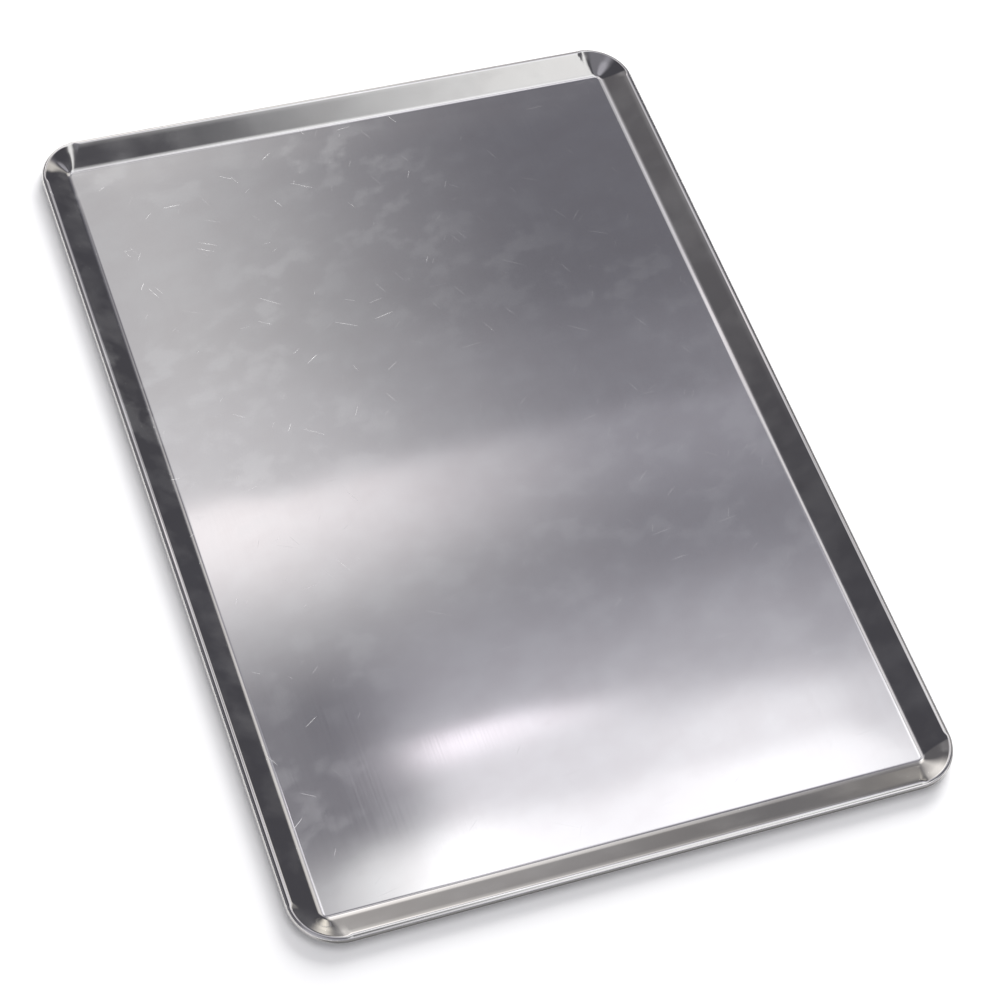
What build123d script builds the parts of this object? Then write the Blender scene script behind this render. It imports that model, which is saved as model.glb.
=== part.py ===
from build123d import *
import os
from math import acos, cos, degrees, radians, sin, tan

os.makedirs("parts", exist_ok=True)

# A shallow baking sheet: one pressed aluminium sheet with its edge curled round a steel wire.
# Millimetres. +X is across the sheet, +Y along it and +Z up. The origin is at the middle of
# the flat underside, which stands on the table at Z = 0.

# Driving dimensions of the pan
pan_length = 656.0
pan_width = 454.0
pan_height = 10.5
sheet_thickness = 1.0
wall_slope = 29.5  # degrees above level
floor_bend_radius = 9.0  # on the inside, where the floor turns up into the wall
rim_corner_radius = 33.0  # in plan, over the outside of the rim
floor_corner_radius = 5.0  # in plan, where the folds of two walls meet

# Driving dimensions of the wire and of the curl that holds it
wire_diameter = 4.4
wire_play = 0.15  # all round, between the wire and the curl
curl_thickness = 0.85  # the sheet thins as it is rolled over the wire
wire_end_gap = 1.0  # between the butted ends of the wire
curl_gap = 1.0  # between the edge of the curled sheet and the underside of a side wall

# The curl, as a ring section: local X points out of the pan and local Y points up
bore_radius = wire_diameter / 2 + wire_play
curl_radius = bore_radius + curl_thickness
curl_centre_z = pan_height - curl_radius
shoulder_angle = 90 + wall_slope
opening_angle = degrees(acos((bore_radius - curl_gap) / curl_radius))

# The wall's upper face runs from the shoulder, where it meets the curl, down to the fold.
# An inset is a distance in plan from the outside of the rim.
slope = radians(wall_slope)
shoulder_inset = curl_radius * (1 + sin(slope))
shoulder_z = curl_centre_z + curl_radius * cos(slope)
fold_inset = shoulder_inset + (shoulder_z - sheet_thickness) / tan(slope)

# The wall's lower face is one sheet thickness below the upper face, square to it
fold_shift = sheet_thickness * tan(slope / 2)
lower_fold_inset = fold_inset - fold_shift
lower_top_inset = lower_fold_inset - shoulder_z / tan(slope)


def outline(inset, radius, height):
    """A rounded rectangle in plan, set in from the outside of the rim."""
    return Plane.XY.offset(height) * RectangleRounded(
        pan_width - 2 * inset, pan_length - 2 * inset, radius
    )


def tray_block(fold, top):
    """The solid between two outlines: plane sides, and corners that open out like a cone."""
    return loft([outline(*fold), outline(*top)], ruled=True)


def bent_fold(block, radius):
    """Rounds the lowest edges of a block, where the floor turns up into the walls."""
    fold_edges = block.edges().group_by(Axis.Z)[0]
    return fillet(fold_edges, radius)


def round_the_rim(section):
    """Carries a section, drawn about the middle of the curl, once round the rim."""
    path = Plane.XY.offset(curl_centre_z) * RectangleRounded(
        pan_width - 2 * curl_radius,
        pan_length - 2 * curl_radius,
        rim_corner_radius - curl_radius,
    )
    run = path.wire()
    start = run @ 0
    along = run % 0
    outward = along.cross(Vector(0, 0, 1))
    if outward.dot(start) < 0:
        outward = -outward
    facing = Plane(origin=start, x_dir=outward, z_dir=outward.cross(Vector(0, 0, 1)))
    return sweep(facing * section, path=run)


def make_pan():
    """The pressed sheet: floor, walls, drawn corners and curled rim in one piece."""
    upper = tray_block(
        (fold_inset, floor_corner_radius, sheet_thickness),
        (shoulder_inset, rim_corner_radius - shoulder_inset, shoulder_z),
    )
    lower = tray_block(
        (lower_fold_inset, floor_corner_radius + fold_shift, 0),
        (lower_top_inset, rim_corner_radius - lower_top_inset, shoulder_z),
    )
    hollow = bent_fold(upper, floor_bend_radius)
    body = bent_fold(lower, floor_bend_radius + sheet_thickness)
    tray = body - hollow
    reach = 2 * curl_radius
    open_sector = make_face(
        Polyline(
            (0, 0),
            (reach * cos(radians(shoulder_angle)), reach * sin(radians(shoulder_angle))),
            (
                reach * cos(radians(shoulder_angle + opening_angle)),
                reach * sin(radians(shoulder_angle + opening_angle)),
            ),
            close=True,
        )
    )
    bore = Circle(bore_radius)
    open_ring = Circle(curl_radius) - bore - open_sector
    return tray - round_the_rim(bore) + round_the_rim(open_ring)


def make_rim_wire():
    """One length of wire bent round the rim, its ends butted at the middle of a short side."""
    half_x = pan_width / 2 - curl_radius
    half_y = pan_length / 2 - curl_radius
    run = FilletPolyline(
        (wire_end_gap / 2, -half_y),
        (half_x, -half_y),
        (half_x, half_y),
        (-half_x, half_y),
        (-half_x, -half_y),
        (-wire_end_gap / 2, -half_y),
        radius=rim_corner_radius - curl_radius,
    )
    path = Plane.XY.offset(curl_centre_z) * run
    section = Plane(origin=path @ 0, z_dir=path % 0) * Circle(wire_diameter / 2)
    return sweep(section, path=path)


pieces = {"pan": make_pan(), "rim_wire": make_rim_wire()}

for name, piece in pieces.items():
    piece.label = name
    export_step(piece, f"parts/{name}.step")
    box = piece.bounding_box()
    print(name, "solids", len(piece.solids()), "valid", piece.is_valid, "volume", round(piece.volume, 1))
    print("  from", box.min, "to", box.max)
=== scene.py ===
# %% [markdown]
# # A shallow aluminium baking sheet
# One sheet of aluminium is pressed into a flat floor with four sloping walls, and its edge is
# curled outwards round a steel wire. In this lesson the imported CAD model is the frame. The sheet
# is modelled again as a fine mesh on that frame, with the small unevenness of a real pressing.

# %% The frame
import bmesh
import bpy
from math import cos, hypot, pi, radians, sin, tan
from mathutils import Matrix, Vector


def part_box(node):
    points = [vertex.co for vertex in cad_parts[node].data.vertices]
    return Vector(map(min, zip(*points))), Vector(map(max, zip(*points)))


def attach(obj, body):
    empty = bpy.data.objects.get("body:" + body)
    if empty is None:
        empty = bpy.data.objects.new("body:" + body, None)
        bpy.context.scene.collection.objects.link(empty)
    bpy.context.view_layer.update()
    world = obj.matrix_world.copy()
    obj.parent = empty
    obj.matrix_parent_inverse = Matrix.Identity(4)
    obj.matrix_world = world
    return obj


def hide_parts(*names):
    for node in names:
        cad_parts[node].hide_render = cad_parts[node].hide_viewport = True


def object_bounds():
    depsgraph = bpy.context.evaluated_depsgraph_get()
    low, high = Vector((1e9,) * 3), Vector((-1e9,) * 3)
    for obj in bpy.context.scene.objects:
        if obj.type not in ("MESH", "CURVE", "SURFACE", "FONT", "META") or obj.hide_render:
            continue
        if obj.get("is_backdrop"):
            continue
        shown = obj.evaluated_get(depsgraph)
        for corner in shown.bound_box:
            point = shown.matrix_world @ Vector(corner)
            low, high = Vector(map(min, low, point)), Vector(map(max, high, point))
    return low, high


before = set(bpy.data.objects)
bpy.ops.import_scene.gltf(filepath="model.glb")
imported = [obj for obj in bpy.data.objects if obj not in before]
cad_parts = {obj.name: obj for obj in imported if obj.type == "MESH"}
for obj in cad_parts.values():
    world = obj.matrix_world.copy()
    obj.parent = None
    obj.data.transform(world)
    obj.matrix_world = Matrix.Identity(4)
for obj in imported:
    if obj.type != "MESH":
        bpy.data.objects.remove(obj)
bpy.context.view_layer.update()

# %% [markdown]
# ## Sizes
# Blender works in metres, so a size in millimetres is a number times MM. The overall sizes are
# read from the frame, and the rest repeat how such a sheet is pressed: a slope, two bends and a
# curl.

# %% Sizes of the pressing
MM = 0.001
pan_low, pan_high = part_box("pan")
pan_width = pan_high.x - pan_low.x
pan_length = pan_high.y - pan_low.y
pan_height = pan_high.z

sheet_thickness = 1.0 * MM
wall_slope = radians(29.5)
floor_bend_radius = 9.0 * MM
rim_corner_radius = 33.0 * MM
floor_corner_radius = 5.0 * MM
curl_radius = 3.2 * MM
curl_gap_angle = radians(65.0)
corner_squeeze = 0.74
squeeze_fade = 4

curl_centre_z = pan_height - curl_radius
shoulder_angle = pi / 2 + wall_slope
shoulder_inset = curl_radius * (1 + sin(wall_slope))
shoulder_z = curl_centre_z + curl_radius * cos(wall_slope)
fold_inset = shoulder_inset + (shoulder_z - sheet_thickness) / tan(wall_slope)
bend_reach = floor_bend_radius * tan(wall_slope / 2)
print("The wall folds", round(fold_inset / MM, 2), "mm in from the rim, in plan")


# %% [markdown]
# ## Small helpers
# Every operator acts on what is selected, so each step starts by selecting exactly what it needs.
# In code, points are picked by their place, as one would pick them with the mouse.

# %% Selecting by place
def edit_points(mesh_object):
    """The points of the mesh that is being edited."""
    points = bmesh.from_edit_mesh(mesh_object.data).verts
    points.ensure_lookup_table()
    return points


def select_points(mesh_object, wanted):
    """Selects the points for which wanted(point) is true, and nothing else."""
    bpy.ops.mesh.select_mode(type="VERT")
    bpy.ops.mesh.select_all(action="DESELECT")
    for point in edit_points(mesh_object):
        point.select = wanted(point)
    bm = bmesh.from_edit_mesh(mesh_object.data)
    bm.select_flush(True)
    bmesh.update_edit_mesh(mesh_object.data)


def apply_modifier(mesh_object, kind, **settings):
    """Adds a modifier, sets it and applies it."""
    bpy.context.view_layer.objects.active = mesh_object
    modifier = mesh_object.modifiers.new(kind.title(), kind)
    for name, value in settings.items():
        setattr(modifier, name, value)
    bpy.ops.object.modifier_apply(modifier=modifier.name)


# %% [markdown]
# ## The rings of the sheet
# The upper face of the sheet can be drawn as a set of rings, each a rectangle with round corners.
# They start at the edge of the flat floor, climb the bend and the wall, go over the curl and end
# under it. A ring is a plane whose four corners are bevelled. In the corners of the pan the curl
# is pinched: the press squeezes its upper half narrower there, so the inner edge of the rim steps
# outwards where the bend of the corner starts. The lower half stays round and holds the wire.

# %% The list of rings
bend_steps = 9
wall_steps = 5
curl_steps = 24
corner_segments = 18
holding_strip = 0.7 * MM


def corner_radius_at(inset):
    """In plan, the walls open out from the tight corner of the floor to the round one of the rim."""
    share = (fold_inset - inset) / (fold_inset - shoulder_inset)
    top_radius = rim_corner_radius - shoulder_inset
    return floor_corner_radius + share * (top_radius - floor_corner_radius)


def ring(inset, height, radius, pinch=0.0):
    """One ring. Its corners are shifted outwards by the pinch."""
    return {"inset": inset, "height": height, "radius": radius, "pinch": pinch}


def floor_rings():
    """The edge of the flat floor, with a narrow strip that keeps the floor flat up to its bend."""
    edge = fold_inset + bend_reach
    radius = corner_radius_at(edge)
    return [
        ring(edge + holding_strip, sheet_thickness, max(radius - holding_strip, holding_strip)),
        ring(edge, sheet_thickness, radius),
    ]


def bend_rings():
    """The bend from the floor to the wall, an arc in section."""
    rings = []
    for step in range(1, bend_steps + 1):
        turned = wall_slope * step / bend_steps
        inset = fold_inset + bend_reach - floor_bend_radius * sin(turned)
        height = sheet_thickness + floor_bend_radius * (1 - cos(turned))
        rings.append(ring(inset, height, corner_radius_at(inset)))
    return rings


def wall_rings():
    """The plane wall, from the bend to the shoulder of the curl, where the pinch fades in."""
    first = bend_rings()[-1]
    rings = []
    shares = [holding_strip / (first["inset"] - shoulder_inset)]
    shares += [step / wall_steps for step in range(1, wall_steps + 1)]
    for share in shares:
        inset = first["inset"] + share * (shoulder_inset - first["inset"])
        height = first["height"] + share * (shoulder_z - first["height"])
        pinch = (1 - corner_squeeze) * shoulder_inset * share ** squeeze_fade
        rings.append(ring(inset, height, corner_radius_at(inset), pinch))
    return rings


def curl_rings():
    """The curl, from the shoulder over the top and round to its free edge under the wall."""
    rings = []
    turn = 2 * pi - curl_gap_angle
    for step in range(1, curl_steps + 1):
        angle = shoulder_angle - turn * step / curl_steps
        inset = curl_radius * (1 - cos(angle))
        height = curl_centre_z + curl_radius * sin(angle)
        pinch = (1 - corner_squeeze) * inset if angle > 0 else 0.0
        rings.append(ring(inset, height, rim_corner_radius - inset, pinch))
    return rings


rings = floor_rings() + bend_rings() + wall_rings() + curl_rings()
print(len(rings), "rings, from the floor to the free edge of the curl")


# %% [markdown]
# ## Drawing the rings
# The sheet could be swept along its rim, but then its corners would all be alike from floor to
# rim. Rings let each height have its own corner. Each ring is a plane added at its height and
# stretched to its size, with bevelled corners, and without its face. The corner points of a
# pinched ring are scaled away from the middle of their bend.

# %% One ring
ring_size = 4 * (corner_segments + 1)


def add_ring(sheet, spec):
    """Adds one ring to the mesh that is being edited."""
    bpy.ops.mesh.select_all(action="DESELECT")
    middle = (0, 0, spec["height"])
    bpy.ops.mesh.primitive_plane_add(size=1, location=middle)
    width = pan_width - 2 * spec["inset"]
    length = pan_length - 2 * spec["inset"]
    bpy.ops.transform.resize(value=(width, length, 1), center_override=middle)
    bpy.ops.mesh.bevel(
        affect="VERTICES", offset=spec["radius"], segments=corner_segments, profile=0.5
    )
    bpy.ops.mesh.delete(type="ONLY_FACE")
    if spec["pinch"] > 0:
        pinch_corners(sheet, spec)


def pinch_corners(sheet, spec):
    """Moves the round corners of the newest ring outwards, from the middles of their bends."""
    first_new = len(edit_points(sheet)) - ring_size
    clear = 0.2 * MM
    grown = 1 + spec["pinch"] / spec["radius"]
    for side_x in (-1, 1):
        for side_y in (-1, 1):
            centre_x = side_x * (pan_width / 2 - spec["inset"] - spec["radius"])
            centre_y = side_y * (pan_length / 2 - spec["inset"] - spec["radius"])
            select_points(
                sheet,
                lambda point: point.index >= first_new
                and point.co.x * side_x > centre_x * side_x + clear
                and point.co.y * side_y > centre_y * side_y + clear,
            )
            centre = (centre_x, centre_y, spec["height"])
            bpy.ops.transform.resize(value=(grown, grown, 1), center_override=centre)


# %% All the rings, in one mesh
bpy.ops.object.select_all(action="DESELECT")
bpy.ops.mesh.primitive_plane_add(size=1)
sheet = bpy.context.active_object
sheet.name = "pressed_sheet"
sheet.data.name = "pressed_sheet"
bpy.ops.object.mode_set(mode="EDIT")
bpy.ops.mesh.select_all(action="SELECT")
bpy.ops.mesh.delete(type="VERT")
for spec in rings:
    add_ring(sheet, spec)
print(len(edit_points(sheet)), "points on the rings")

# %% [markdown]
# ## The skin
# Neighbouring rings are joined by bridging them, and the innermost one is filled with the face
# of the floor. The long strips are then cut across with the bisect tool, so that the metal can
# be given its slight unevenness.

# %% Bridging the rings and filling the floor
for number in range(len(rings) - 1):
    first = number * ring_size
    select_points(sheet, lambda point: first <= point.index < first + 2 * ring_size)
    bpy.ops.mesh.select_mode(type="EDGE")
    bpy.ops.mesh.bridge_edge_loops()
select_points(sheet, lambda point: point.index < ring_size)
bpy.ops.mesh.edge_face_add()
longest_step = max(
    (a.co - b.co).length
    for a, b in (edge.verts for edge in bmesh.from_edit_mesh(sheet.data).edges)
    if a.index // ring_size != b.index // ring_size
)
print("Longest step from ring to ring:", round(longest_step / MM, 2), "mm")

# %% Cutting the long strips across
cut_spacing = 8.0 * MM
last_cut = 1.2 * MM


def cut_across(axis, run):
    """Bisects the mesh at even steps along one axis, and once more just before each corner."""
    count = round(run / cut_spacing)
    cuts = [run * (number / count - 1 / 2) for number in range(count + 1)]
    cuts += [last_cut - run / 2, run / 2 - last_cut]
    for cut in cuts:
        place = [0.0, 0.0, 0.0]
        facing = [0.0, 0.0, 0.0]
        place[axis] = cut
        facing[axis] = 1.0
        bpy.ops.mesh.select_all(action="SELECT")
        bpy.ops.mesh.bisect(plane_co=place, plane_no=facing)


cut_across(0, pan_width - 2 * rim_corner_radius)
cut_across(1, pan_length - 2 * rim_corner_radius)
bpy.ops.mesh.select_all(action="SELECT")
bpy.ops.mesh.normals_make_consistent(inside=False)
floor_face = max(bmesh.from_edit_mesh(sheet.data).faces, key=lambda face: face.calc_area())
if floor_face.normal.z < 0:
    bpy.ops.mesh.flip_normals()
bpy.ops.object.mode_set(mode="OBJECT")
print(len(sheet.data.polygons), "faces on the upper skin")

# %% [markdown]
# ## The unevenness of pressed metal
# Thin sheet never comes out of the press quite flat. The floor stands up in a few soft, wide
# swellings of a tenth of a millimetre or two, and the walls ripple a little. Nobody sees the
# height, but a bright metal shows the slope, because it bends the reflections. A Displace
# modifier with a cloud pattern does this. Its strength follows a vertex group, so that the bends,
# the curl and the foot of the walls stay true.

# %% Where the metal may swell
swell_run_in = 45.0 * MM


def weigh(mesh_object, group_name, weight_at):
    """A vertex group in which each point has the weight that its place gives."""
    group = mesh_object.vertex_groups.new(name=group_name)
    for point in mesh_object.data.vertices:
        group.add([point.index], weight_at(point.co), "REPLACE")


def inset_of(place):
    """How far a point lies inside the rounded outline of the rim, in plan."""
    past_x = abs(place.x) - (pan_width / 2 - rim_corner_radius)
    past_y = abs(place.y) - (pan_length / 2 - rim_corner_radius)
    if past_x > 0 and past_y > 0:
        return rim_corner_radius - hypot(past_x, past_y)
    return rim_corner_radius - max(past_x, past_y)


def floor_weight(place):
    """Full in the middle of the floor, and nothing at its edge."""
    edge = fold_inset + bend_reach + holding_strip
    room = min(pan_width / 2 - edge - abs(place.x), pan_length / 2 - edge - abs(place.y))
    share = max(0.0, min(1.0, room / swell_run_in))
    return share * share * (3 - 2 * share)


def wall_weight(place):
    """Full halfway up the walls, and nothing at the bend and at the curl."""
    foot = fold_inset - bend_reach
    share = (foot - inset_of(place)) / (foot - shoulder_inset)
    if not 0 < share < 1 or place.z < sheet_thickness:
        return 0.0
    return 4 * share * (1 - share)


# %% Swelling the floor and rippling the walls
swelling_size = 110 * MM
swelling_height = 0.14 * MM
ripple_size = 32 * MM
ripple_height = 0.10 * MM


def cloud(name, size):
    """A soft cloud pattern with swellings about this far apart."""
    texture = bpy.data.textures.new(name, "CLOUDS")
    texture.noise_scale = size
    texture.noise_depth = 1
    return texture


weigh(sheet, "floor", floor_weight)
weigh(sheet, "walls", wall_weight)
apply_modifier(
    sheet, "DISPLACE", texture=cloud("floor_swelling", swelling_size), direction="Z",
    strength=swelling_height, mid_level=0.0, vertex_group="floor",
)
apply_modifier(
    sheet, "DISPLACE", texture=cloud("wall_ripple", ripple_size), direction="Z",
    strength=ripple_height, mid_level=0.5, vertex_group="walls",
)
heights = [point.co.z for point in sheet.data.vertices if floor_weight(point.co) > 0]
print("The floor's top lies", round(min(heights) / MM, 3), "to", round(max(heights) / MM, 3), "mm up")

# %% [markdown]
# ## The thickness
# Solidify gives the skin the thickness of the sheet, downwards, so that the upper face stays where
# it is. The bends are then shaded smooth, and the cut edge of the metal stays sharp.

# %% Giving the skin its thickness
sharp_from = radians(40)
apply_modifier(
    sheet, "SOLIDIFY", thickness=sheet_thickness, offset=-1, use_even_offset=True, use_rim=True
)
bpy.ops.object.select_all(action="DESELECT")
sheet.select_set(True)
bpy.context.view_layer.objects.active = sheet
bpy.ops.object.shade_smooth_by_angle(angle=sharp_from)
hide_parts("pan")
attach(sheet, "root")
print("The sheet has", len(sheet.data.polygons), "faces")


# %% [markdown]
# ## Colours and nodes
# Colours are written as sRGB hex values and turned to linear light once, by one function. One
# other function adds a node with its settings and its links, and hands back the node or the one
# output that is wanted.

# %% Colour and node helpers
def linear(hex_colour):
    """An sRGB hex value as linear red, green, blue and alpha."""
    channels = [int(hex_colour[i:i + 2], 16) / 255 for i in (1, 3, 5)]
    light = [c / 12.92 if c <= 0.04045 else ((c + 0.055) / 1.055) ** 2.4 for c in channels]
    return (*light, 1.0)


def add_node(tree, kind, inputs=None, output=None, **settings):
    """Adds a node, sets its properties, and fills its inputs with values or with links."""
    node = tree.nodes.new(kind)
    for name, value in settings.items():
        setattr(node, name, value)
    for socket, value in (inputs or {}).items():
        if isinstance(value, bpy.types.NodeSocket):
            tree.links.new(value, node.inputs[socket])
        else:
            node.inputs[socket].default_value = value
    return node.outputs[output] if output else node


def new_material(name):
    """An empty material, its node tree and its output node."""
    material = bpy.data.materials.new(name)
    material.use_nodes = True
    material.node_tree.nodes.clear()
    surface = add_node(material.node_tree, "ShaderNodeOutputMaterial")
    return material, material.node_tree, surface


# %% [markdown]
# ## Pressed aluminium
# Bare aluminium, cold rolled to a bright satin. The rolls leave a very fine grain along the sheet,
# so the light spreads a little across it and stays sharp along it: an anisotropic gloss. Use adds
# the rest: cloudy smudges where it was wiped, short scratches, and a dull outer side, whose greyer
# colour is painted shade that darkens its reflection. Such marks depend on where a point lies and
# which way it faces, so the material starts with these values.

# %% Where a point lies and which way it faces
aluminium, metal_nodes, metal_surface = new_material("pressed_aluminium")
most_used_corner = (-1.0, 0.45, 0.0)
place = add_node(metal_nodes, "ShaderNodeTexCoord", output="Object")
facing = add_node(metal_nodes, "ShaderNodeNewGeometry", output="Normal")
height = add_node(metal_nodes, "ShaderNodeSeparateXYZ", {"Vector": place}, "Z")
facing_up = add_node(metal_nodes, "ShaderNodeSeparateXYZ", {"Vector": facing}, "Z")
facing_outwards = add_node(
    metal_nodes, "ShaderNodeVectorMath", {0: facing, 1: place}, "Value", operation="DOT_PRODUCT"
)
towards_corner = add_node(
    metal_nodes, "ShaderNodeVectorMath", {0: place, 1: most_used_corner}, "Value",
    operation="DOT_PRODUCT",
)
print("The most used corner of the sheet lies towards", most_used_corner)

# %% [markdown]
# ### Clouds
# Five soft noises, each with its size in millimetres. The grain of a rolled sheet is some hundredths
# of a millimetre wide, which is too fine to show, so it is drawn 1.2 mm wide. A hand's width is
# about the size of a wiped place, a fingertip's that of a smear.

# %% Clouds in real sizes
clouds = {}
for name, size, stretch, turned, detail in (
    ("grain", 1.2, 60.0, 90.0, 2.0),
    ("wiped", 150.0, 1.0, 0.0, 1.0),
    ("smear", 22.0, 1.4, 20.0, 6.0),
    ("water_mark", 26.0, 1.5, 0.0, 3.0),
    ("drift", 70.0, 1.0, 0.0, 0.0),
):
    inputs = {
        "Vector": place,
        "Rotation": (0, 0, radians(turned)),
        "Scale": (size * stretch * MM, size * MM, size * MM),
    }
    laid = add_node(metal_nodes, "ShaderNodeMapping", inputs, "Vector", vector_type="TEXTURE")
    inputs = {"Vector": laid, "Scale": 1.0, "Detail": detail}
    clouds[name] = add_node(metal_nodes, "ShaderNodeTexNoise", inputs)
print("Clouds:", ", ".join(clouds))

# %% [markdown]
# ### Masks
# A mask says where a mark lies. Each is a product of ranges: a value that climbs from nothing to
# full between two limits, or falls where the first limit is the higher one. A range may also run
# between two other amounts.

# %% Masks for the marks
full = (0.0, 1.0)
grain = clouds["grain"].outputs["Fac"]
wiped = clouds["wiped"].outputs["Fac"]
smear = clouds["smear"].outputs["Fac"]
water_mark = clouds["water_mark"].outputs["Fac"]
mask_ranges = {
    "gloss_of_grain": ((grain, 0.3, 0.7, (0.058, 0.068)),),
    "leaning_out": ((facing_outwards, 0.02, 0.08, full), (facing_up, 0.92, 0.45, full)),
    "facing_down": ((facing_up, 0.1, -0.1, full),),
    "bent_metal": (
        (facing_up, 0.9995, 0.99, full),
        (height, 5.0 * MM, 3.0 * MM, full),
        (facing_up, 0.875, 0.91, full),
    ),
    "smudge": (
        (smear, 0.51, 0.61, full),
        (wiped, 0.38, 0.58, full),
        (towards_corner, 0.02, 0.28, (0.18, 1.0)),
        (facing_up, 0.88, 0.97, (0.4, 1.0)),
    ),
    "water_marks": (
        (water_mark, 0.46, 0.66, full),
        (facing_up, 0.93, 0.89, full),
        (facing_up, 0.80, 0.86, full),
    ),
    "scratchable": ((towards_corner, 0.02, 0.176, (0.15, 1.0)), (facing_up, 0.90, 0.98, full)),
    "mottle": ((smear, 0.35, 0.65, full),),
    "stain": ((facing_up, 0.93, 0.89, full), (wiped, 0.35, 0.65, (0.1, 0.6))),
}
masks = {}
for name, ranges in mask_ranges.items():
    for value, low, high, (to_low, to_high) in ranges:
        inputs = {"Value": value, "From Min": low, "From Max": high, "To Min": to_low, "To Max": to_high}
        share = add_node(metal_nodes, "ShaderNodeMapRange", inputs, "Result")
        if name in masks:
            inputs = {0: masks[name], 1: share}
            share = add_node(metal_nodes, "ShaderNodeMath", inputs, "Value", operation="MULTIPLY")
        masks[name] = share
# The outer side is duller, and its grey colour further on is painted shade.
masks["outside"] = add_node(
    metal_nodes, "ShaderNodeMath", {0: masks["leaning_out"], 1: masks["facing_down"]}, "Value",
    operation="MAXIMUM",
)
print("Masks:", ", ".join(masks))

# %% [markdown]
# ### Scratches
# A scratch is the middle of a long thin cell of a Voronoi pattern, and only a few cells, picked by
# their random colour, have one. Five layers lie at different angles, on a place that drifts a
# little, so that no scratch is quite straight. A real scratch is a tenth of a millimetre wide or
# less. These are drawn up to four times as wide, so that they show.

# %% Five layers of scratches
inputs = {0: clouds["drift"].outputs["Color"], "Scale": 12 * MM}
drift = add_node(metal_nodes, "ShaderNodeVectorMath", inputs, "Vector", operation="SCALE")
drifting = add_node(metal_nodes, "ShaderNodeVectorMath", {0: place, 1: drift}, "Vector", operation="ADD")
for angle, length, spacing, share in (
    (8, 16, 1.3, 0.014),
    (37, 11, 1.3, 0.016),
    (62, 8, 1.2, 0.015),
    (118, 12, 1.2, 0.014),
    (151, 18, 1.2, 0.011),
):
    inputs = {
        "Vector": drifting,
        "Rotation": (0, 0, radians(angle)),
        "Scale": (3 * length * MM, spacing * MM, 1.0),
    }
    laid = add_node(metal_nodes, "ShaderNodeMapping", inputs, "Vector", vector_type="TEXTURE")
    inputs = {"Vector": laid, "Scale": 1.0}
    cells = add_node(metal_nodes, "ShaderNodeTexVoronoi", inputs, voronoi_dimensions="2D")
    chance = add_node(metal_nodes, "ShaderNodeSeparateColor", {"Color": cells.outputs["Color"]})
    inputs = {"Value": chance.outputs["Green"], "To Min": 0.05, "To Max": 0.17}
    reach = add_node(metal_nodes, "ShaderNodeMapRange", inputs, "Result")
    inputs = {"Value": chance.outputs["Blue"], "To Min": 0.2, "To Max": 1.0}
    layer = add_node(metal_nodes, "ShaderNodeMapRange", inputs, "Result")
    for operation, first, second in (
        ("GREATER_THAN", chance.outputs["Red"], 1 - share),
        ("LESS_THAN", cells.outputs["Distance"], reach),
    ):
        inputs = {0: first, 1: second}
        chosen = add_node(metal_nodes, "ShaderNodeMath", inputs, "Value", operation=operation)
        inputs = {0: layer, 1: chosen}
        layer = add_node(metal_nodes, "ShaderNodeMath", inputs, "Value", operation="MULTIPLY")
    if "scratched" in masks:
        inputs = {0: masks["scratched"], 1: layer}
        layer = add_node(metal_nodes, "ShaderNodeMath", inputs, "Value", operation="MAXIMUM")
    masks["scratched"] = layer
masks["scratched"] = add_node(
    metal_nodes, "ShaderNodeMath", {0: masks["scratched"], 1: masks["scratchable"]}, "Value",
    operation="MULTIPLY",
)
print(len(metal_nodes.nodes), "nodes so far")

# %% [markdown]
# ### Gloss, bareness and colour
# Each mark spreads the light more, and smudges, water marks and scratches also cover a part of the
# bare metal with something matt. The colour of aluminium hardly changes: it is a little warmer
# where it is stained. Outside it is greyer, a painted shade that darkens the reflection on the
# outer face of the curl.

# %% What each mark does
gloss = masks["gloss_of_grain"]
bareness = 1.0
for name, spread, cover in (
    ("smudge", 0.04, 0.09),
    ("bent_metal", 0.05, 0.0),
    ("outside", 0.15, 0.0),
    ("water_marks", 0.03, 0.03),
    ("scratched", 0.3, 0.65),
):
    inputs = {0: masks[name], 1: spread, 2: gloss}
    gloss = add_node(metal_nodes, "ShaderNodeMath", inputs, "Value", operation="MULTIPLY_ADD")
    inputs = {0: masks[name], 1: -cover, 2: bareness}
    bareness = add_node(metal_nodes, "ShaderNodeMath", inputs, "Value", operation="MULTIPLY_ADD")

colour = linear("#f0efee")
# The grey of the outer side is painted shade, darkening the reflection on the outer face of the curl.
for name, marked_colour in (("mottle", "#f4f4f3"), ("stain", "#eeece8"), ("outside", "#cfcdca")):
    inputs = {"Factor": masks[name], "A": colour, "B": linear(marked_colour)}
    colour = add_node(metal_nodes, "ShaderNodeMix", inputs, "Result", data_type="RGBA")

# %% The metal
across_grain = add_node(metal_nodes, "ShaderNodeCombineXYZ", {"X": 1.0}, "Vector")
inputs = {
    "Base Color": colour,
    "Metallic": bareness,
    "Roughness": gloss,
    "Anisotropic": 0.8,
    "Tangent": across_grain,
}
metal = add_node(metal_nodes, "ShaderNodeBsdfPrincipled", inputs, "BSDF")
metal_nodes.links.new(metal, metal_surface.inputs["Surface"])
sheet.data.materials.clear()
sheet.data.materials.append(aluminium)
print(len(metal_nodes.nodes), "nodes in the aluminium")

# %% [markdown]
# ## Galvanised wire
# The wire shows only through the slit under the rim. Hot zinc leaves it dull grey and a little
# cloudy, with spangles a few millimetres wide.

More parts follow.
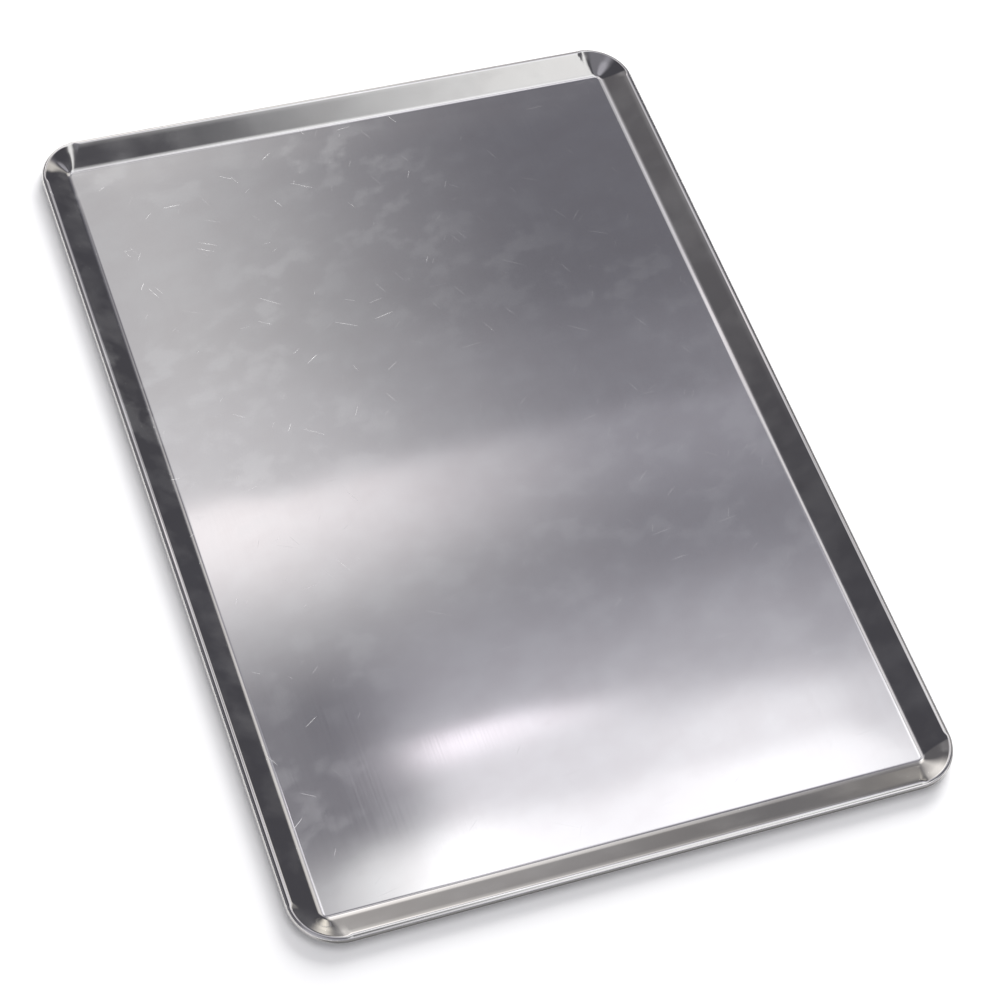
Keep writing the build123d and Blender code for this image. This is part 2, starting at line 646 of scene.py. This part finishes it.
# %% Galvanised wire
spangle_size = 6 * MM
zinc, zinc_nodes, zinc_surface = new_material("galvanised_wire")
inputs = {
    "Vector": add_node(zinc_nodes, "ShaderNodeTexCoord", output="Object"),
    "Scale": 1 / spangle_size,
    "Detail": 3.0,
}
spangle = add_node(zinc_nodes, "ShaderNodeTexNoise", inputs, "Fac")
inputs = {"Factor": spangle, "A": linear("#b4b7ba"), "B": linear("#d2d4d6")}
zinc_colour = add_node(zinc_nodes, "ShaderNodeMix", inputs, "Result", data_type="RGBA")
inputs = {"Value": spangle, "To Min": 0.38, "To Max": 0.55}
zinc_gloss = add_node(zinc_nodes, "ShaderNodeMapRange", inputs, "Result")
inputs = {"Base Color": zinc_colour, "Metallic": 1.0, "Roughness": zinc_gloss}
metal = add_node(zinc_nodes, "ShaderNodeBsdfPrincipled", inputs, "BSDF")
zinc_nodes.links.new(metal, zinc_surface.inputs["Surface"])

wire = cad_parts["rim_wire"]
wire.data.materials.clear()
wire.data.materials.append(zinc)
print("The wire has", len(wire.data.polygons), "faces")

# %% [markdown]
# ## The floor of the studio
# A wide white table. It is a plain matt white that takes the soft shadow of the sheet, with a
# little light of its own, seen by the camera and in the metal, that lifts it to paper white.

# %% The table
table_size = 40.0
table_drop = 0.05 * MM
bpy.ops.object.select_all(action="DESELECT")
bpy.ops.mesh.primitive_plane_add(size=table_size, location=(0, 0, -table_drop))
table = bpy.context.active_object
table.name = "table"
table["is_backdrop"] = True
print("The table is", table_size, "m wide")

# %% White for the table
table_lift = 0.1
white, white_nodes, white_surface = new_material("white_table")
matt = add_node(white_nodes, "ShaderNodeBsdfDiffuse", {"Color": linear("#f2f2f2")}, "BSDF")
ray = add_node(white_nodes, "ShaderNodeLightPath")
seen = ray.outputs["Is Camera Ray"]
for kind_of_ray in ("Is Glossy Ray", "Is Transmission Ray"):
    inputs = {0: seen, 1: ray.outputs[kind_of_ray]}
    seen = add_node(white_nodes, "ShaderNodeMath", inputs, "Value", operation="MAXIMUM")
lift = add_node(
    white_nodes, "ShaderNodeMath", {0: seen, 1: table_lift}, "Value", operation="MULTIPLY"
)
inputs = {"Color": linear("#ffffff"), "Strength": lift}
glow = add_node(white_nodes, "ShaderNodeEmission", inputs, "Emission")
both = add_node(white_nodes, "ShaderNodeAddShader", {0: matt, 1: glow}, "Shader")
white_nodes.links.new(both, white_surface.inputs["Surface"])
table.data.materials.append(white)
print("The white of the table has", len(white_nodes.nodes), "nodes")

# %% [markdown]
# Two grey cards lie on the table, along the right side and along the front. They show only in the
# metal, where they darken the outside of the rim, so that it stands out from the white.

# %% The grey cards
card_width = 0.5
card_gap = 0.5 * MM


def grey_card(name, middle, size):
    """A card that lies on the table and is seen by glossy rays only."""
    bpy.ops.object.select_all(action="DESELECT")
    bpy.ops.mesh.primitive_plane_add(size=1, location=middle)
    bpy.ops.transform.resize(value=(*size, 1), center_override=middle)
    card = bpy.context.active_object
    card.name = name
    for kind_of_ray in ("camera", "diffuse", "transmission", "shadow"):
        setattr(card, "visible_" + kind_of_ray, False)
    grey, grey_nodes, grey_surface = new_material(name)
    matt = add_node(grey_nodes, "ShaderNodeBsdfDiffuse", {"Color": linear("#9f9f9f")}, "BSDF")
    grey_nodes.links.new(matt, grey_surface.inputs["Surface"])
    card.data.materials.append(grey)
    card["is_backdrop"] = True
    print(name, "is", [round(side, 3) for side in size], "m")


card_right = pan_width / 2 + card_gap + card_width / 2
card_front = -pan_length / 2 - card_gap - card_width / 2
grey_card("card_right", (card_right, 0, 0), (card_width, pan_length))
grey_card("card_front", (0, card_front, 0), (pan_width, card_width))

# %% [markdown]
# ## The studio overhead
# A bright metal shows what is around it. Overhead hang a few large soft lights, and the room
# around them is dim. Each light is a soft-edged patch of the sky of this scene. A direction is
# measured by where it meets a ceiling one unit up: across, along +X, and back, along +Y.

# %% Directions in the sky
world = bpy.data.worlds.new("studio")
bpy.context.scene.world = world
world.use_nodes = True
sky = world.node_tree
sky.nodes.clear()
direction = add_node(sky, "ShaderNodeTexCoord", output="Generated")
part = add_node(sky, "ShaderNodeSeparateXYZ", {"Vector": direction})
east, north, up = part.outputs["X"], part.outputs["Y"], part.outputs["Z"]
lowest_up = 0.02
ceiling = add_node(sky, "ShaderNodeMath", {0: up, 1: lowest_up}, "Value", operation="MAXIMUM")
across = add_node(sky, "ShaderNodeMath", {0: east, 1: ceiling}, "Value", operation="DIVIDE")
back = add_node(sky, "ShaderNodeMath", {0: north, 1: ceiling}, "Value", operation="DIVIDE")
print("Directions lower than", lowest_up, "are measured as if they were that high")

# %% [markdown]
# ### The lights
# Each patch has a colour, a strength and its edges. An edge is a direction with the place where the
# light has ended and the place where it is full. The colours and the edges were set one by one. Many of
# the strengths came from a least squares fit to the grey levels of the photo and were then rounded.

# %% The lights of the studio
patches = [
    # the dim room, a little blue
    ("#f1efff", 0.075, (up, 0.0, 0.05)),
    # its front, and its left and right sides
    ("#f4f4ff", 0.40, (north, -0.15, -0.4), (up, 0.8, 0.5), (up, 0.0, 0.1)),
    ("#f4f4ff", 0.10, (across, -0.75, -1.2), (up, 0.0, 0.1)),
    ("#f4f4ff", 0.40, (east, 0.84, 0.95), (up, 0.22, 0.12), (up, 0.0, 0.02)),
    ("#fff8f4", 0.05, (across, -0.3, -0.5), (across, -1.2, -0.9), (back, 0.62, 0.8)),
    # a window at the back left
    ("#fffaf6", 1.00, (back, 0.81, 0.92), (east, 0.45, 0.17), (east, -0.28, 0.04),
     (up, -0.1, 0.5)),
    # a small lamp low in the back
    ("#fff8ec", 0.90, (east, 0.34, 0.50), (east, 0.68, 0.50), (north, 0.5, 0.7),
     (up, 0.26, 0.06), (up, -0.04, 0.0)),
    # a faint light overhead, and a light at the right
    ("#f1efff", 0.10, (across, -0.3, -0.1), (across, 1.6, 1.0), (back, 1.3, 1.0),
     (back, 0.0, 0.2)),
    ("#fffaf2", 0.52, (across, 0.50, 0.66), (across, 2.1, 1.5), (back, 1.0, 0.68),
     (back, 0.12, 0.40)),
    # a long light over the left edge, whose glow fades to the right
    ("#fbf9f7", 0.49, (across, 0.42, 0.17), (across, 0.10, 0.25),
     (back, 0.52, 0.595), (back, 1.6, 1.0)),
    ("#fbf8fa", 0.36, (across, 0.25, 0.10), (across, -0.35, -0.05),
     (back, 0.05, 0.15), (back, 0.9, 0.6)),
    ("#fbf8fa", 0.34, (across, 0.15, -0.05), (across, -0.7, -0.2),
     (back, 0.58, 0.72), (back, 1.3, 1.0)),
    ("#fffaf6", 0.30, (across, 0.17, 0.07), (across, -0.30, -0.05),
     (back, 0.62, 0.54), (back, 0.2, 0.4)),
    # a second glow, with a strip along it that has a crisp back edge
    ("#f6f4ff", 0.08, (across, -0.42, -0.25), (across, 1.3, 0.9),
     (back, 0.72, 0.65), (back, 0.53, 0.58)),
    ("#f6f4ff", 0.16, (across, 0.235, 0.29), (across, 0.60, 0.42),
     (back, 0.58, 0.53), (back, 0.0, 0.2)),
    ("#fff4f3", 0.36, (across, 0.42, 0.22), (across, -0.42, -0.3),
     (back, 0.637, 0.628), (back, 0.568, 0.622)),
    ("#f6f3ff", 0.09, (across, 0.6, 0.5), (across, 0.1, 0.3),
     (back, 0.642, 0.634), (back, 0.568, 0.622)),
    # the large light overhead: a soft glow before it, then its own crisp edge
    ("#f8f5fb", 0.19, (across, 0.240, 0.280), (across, 0.60, 0.42),
     (back, 0.56, 0.50), (back, 0.30, 0.42)),
    ("#fbf9fb", 0.35, (across, 0.252, 0.270), (across, 0.40, 0.34),
     (back, 0.507, 0.499), (back, 0.0, 0.2)),
    ("#fbf9fb", 0.29, (across, 0.34, 0.40), (across, 0.52, 0.42),
     (back, 0.502, 0.485), (back, 0.0, 0.2)),
    ("#fff2ff", 0.75, (across, 0.258, 0.274), (across, 0.36, 0.27),
     (back, 0.506, 0.500), (back, 0.484, 0.498)),
    ("#ffffff", 0.20, (across, 0.34, 0.40), (across, 0.50, 0.44),
     (back, 0.490, 0.478), (back, 0.30, 0.42)),
    ("#ffffff", 0.28, (across, 0.19, 0.27), (across, 0.6, 0.42),
     (back, 0.465, 0.443), (back, 0.30, 0.42)),
    ("#ffffff", 0.66, (across, 0.18, 0.25), (across, 0.31, 0.26),
     (back, 0.475, 0.440), (back, 0.0, 0.2)),
    ("#fbf8fa", 0.45, (across, 0.235, 0.215), (across, 0.10, 0.20),
     (back, 0.42, 0.36), (back, 0.0, 0.15)),
    # the front of it, whose left edge slants
    ("#ffffff", 0.82, (across, 0.20, 0.37), (across, 0.46, 0.41),
     (back, -0.02, -0.38), (back, -1.4, -0.6)),
    ("#ffffff", 0.88, (across, 0.08, 0.30), (across, 0.50, 0.41),
     (back, -0.38, -0.02), (back, 0.25, 0.05)),
    ("#ffffff", 0.80, (across, 0.20, 0.60), (across, 1.6, 1.0),
     (back, -0.5, -0.75), (back, -3.0, -1.4)),
    # small dim lights beside it
    ("#f6f4ff", 0.13, (across, 0.16, 0.04), (across, -1.2, -0.8),
     (back, 0.2, 0.0), (back, -1.2, -0.7)),
    ("#f6f4ff", 0.22, (across, -0.25, -0.42), (across, -0.8, -0.58),
     (back, 0.1, -0.1), (back, -1.2, -0.7)),
    ("#f6f4ff", 0.30, (across, 1.05, 1.3), (across, 1.8, 1.5),
     (back, 0.15, 0.0), (back, -0.35, -0.15)),
]
print(len(patches), "patches of light in the sky")

# %% [markdown]
# The edges of a patch are soft steps that are multiplied with its strength and its colour, and the
# sky is the sum of all the patches.

# %% Adding up the sky
total = (0.0, 0.0, 0.0)
for colour, strength, *edges in patches:
    for direction, dark_at, bright_at in edges:
        inputs = {"Value": direction, "From Min": dark_at, "From Max": bright_at}
        step = add_node(sky, "ShaderNodeMapRange", inputs, "Result", interpolation_type="SMOOTHSTEP")
        inputs = {0: strength, 1: step}
        strength = add_node(sky, "ShaderNodeMath", inputs, "Value", operation="MULTIPLY")
    inputs = {0: linear(colour)[:3], "Scale": strength}
    light = add_node(sky, "ShaderNodeVectorMath", inputs, "Vector", operation="SCALE")
    total = add_node(sky, "ShaderNodeVectorMath", {0: total, 1: light}, "Vector", operation="ADD")
background = add_node(sky, "ShaderNodeBackground", {"Color": total, "Strength": 1.0}, "Background")
add_node(sky, "ShaderNodeOutputWorld", {"Surface": background})
print(len(sky.nodes), "nodes in the sky")

# %% [markdown]
# ## The key light
# A wide lamp at the right and behind gives the table its plain light and the sheet its soft
# shadow, to the left and to the front. A weak one overhead fills that shadow. The metal doesn't
# show the lamps, because its reflections come from the patches of the sky.

# %% Lamps
def area_light(name, place, size, power):
    """A square lamp aimed at the middle of the table."""
    lamp = bpy.data.lights.new(name, "AREA")
    lamp.shape = "SQUARE"
    lamp.size = size
    lamp.energy = power
    lamp_object = bpy.data.objects.new(name, lamp)
    bpy.context.scene.collection.objects.link(lamp_object)
    lamp_object.location = place
    lamp_object.rotation_euler = (-Vector(place)).to_track_quat("-Z", "Y").to_euler()
    lamp_object.visible_glossy = False
    return lamp_object


key = area_light("key", place=(3.0, 4.0, 2.5), size=3.6, power=450)
fill = area_light("fill", place=(0.0, 0.0, 4.5), size=3.0, power=60)
print("Lamps:", key.name, "and", fill.name)

# %% [markdown]
# ## The camera
# The camera looks down from the front left. Its lens and its place were worked out from the
# straight edges of the sheet.

# %% Camera
sensor_width = 36.0
focal_length = 102.78
aim = Vector((3.7 * MM, -40.8 * MM, 0.0))
distance = 1940.4 * MM
turned = radians(29.397)
looking_down = radians(55.262)
roll = radians(12.115)

camera_data = bpy.data.cameras.new("camera")
camera = bpy.data.objects.new("camera", camera_data)
bpy.context.scene.collection.objects.link(camera)
camera_data.sensor_width = sensor_width
camera_data.lens = focal_length
forward = Vector((sin(turned) * cos(looking_down), cos(turned) * cos(looking_down), -sin(looking_down)))
camera.matrix_world = (
    Matrix.Translation(aim - distance * forward)
    @ Matrix.Rotation(-turned, 4, "Z")
    @ Matrix.Rotation(pi / 2 - looking_down, 4, "X")
    @ Matrix.Rotation(roll, 4, "Z")
)
bpy.context.scene.camera = camera
bpy.context.scene.view_settings.view_transform = "Standard"
print("The camera is", round(distance, 3), "m from the middle of the sheet")

# %% [markdown]
# ## Closing
# The box of the finished scene is printed.

low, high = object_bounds()
print("Visual box in metres:", [round(x, 4) for x in (*low, *high)])
